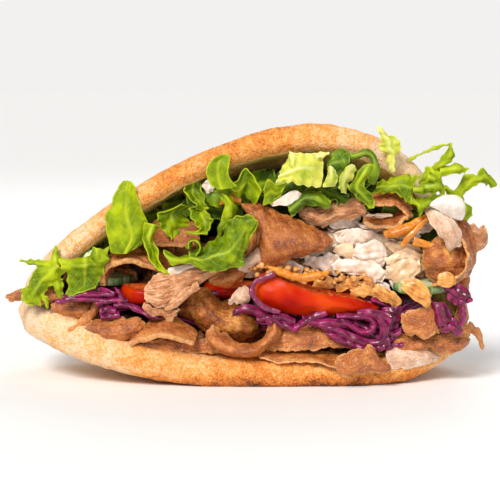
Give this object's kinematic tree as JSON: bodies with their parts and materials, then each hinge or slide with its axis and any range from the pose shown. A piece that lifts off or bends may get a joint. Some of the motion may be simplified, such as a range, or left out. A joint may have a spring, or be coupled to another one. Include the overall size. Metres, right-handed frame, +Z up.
{
  "type": "doner kebab sandwich",
  "caption": "Toasted flatbread folded open like a clam around shaved meat, lettuce, red and white cabbage, tomato and cucumber.",
  "frame": {"origin": "middle of the small flat spot under the bread that it rests on", "axes": "+Z up, +X along the bread's long side to the right, the open front faces -Y"},
  "size_m": [0.234, 0.1101, 0.1208],
  "materials": {
    "bread": "toasted crust, matt and grainy, pale crumb on the cut rims",
    "meat": "roasted, fibrous, moist, with darker crisp edges",
    "lettuce": "fresh leaf, soft gloss",
    "pale_lettuce": "pale heart leaf, soft gloss",
    "red_cabbage": "moist shreds, glossy",
    "white_cabbage": "moist translucent shreds, glossy",
    "tomato": "glossy skin, wet flesh",
    "cucumber": "green skin, pale wet flesh",
    "carrot": "raw grated strips, satin",
    "onion": "wet translucent slices",
    "red_onion": "wet slices with a purple skin side"
  },
  "bodies": {
    "root": {"bread": "bread", "cabbage_middle": "red_cabbage", "cabbage_right": "red_cabbage", "carrot_curve": "carrot", "carrot_low": "carrot", "carrot_upper": "carrot", "cucumber_left": "cucumber", "cucumber_right": "cucumber", "cucumber_upper": "cucumber", "layer_lettuce": "lettuce", "layer_meat_high": "meat", "layer_meat_low": "meat", "layer_red_cabbage": "red_cabbage", "leaf_curl_down": "lettuce", "leaf_dark_top": "lettuce", "leaf_far_right": "lettuce", "leaf_frill_left": "lettuce", "leaf_frill_low": "lettuce", "leaf_frill_mid": "lettuce", "leaf_left_low": "lettuce", "leaf_left_tip": "lettuce", "leaf_loop": "lettuce", "leaf_pale": "pale_lettuce", "leaf_peak": "lettuce", "leaf_right_broad": "lettuce", "leaf_right_sprig": "lettuce", "leaf_spike_top": "pale_lettuce", "leaf_tall": "lettuce", "leaf_tall_branch": "lettuce", "leaf_up": "lettuce", "meat_arch": "meat", "meat_behind_leaf": "meat", "meat_big_curl": "meat", "meat_broad": "meat", "meat_chunk": "meat", "meat_cup": "meat", "meat_curl": "meat", "meat_diagonal": "meat", "meat_flap": "meat", "meat_flat": "meat", "meat_hook": "meat", "meat_ledge": "meat", "meat_pocket_floor": "meat", "meat_pocket_roof": "meat", "meat_ragged_top": "meat", "meat_right_face": "meat", "meat_right_flap": "meat", "meat_right_ledge": "meat", "meat_right_low": "meat", "meat_right_rag": "meat", "meat_serrated": "meat", "meat_slab": "meat", "meat_tip": "meat", "onion_ring": "red_onion", "onion_slice": "onion", "tomato_front": "tomato", "tomato_left": "tomato", "tomato_middle": "tomato", "white_cabbage": "white_cabbage"}
  },
  "joints": []
}
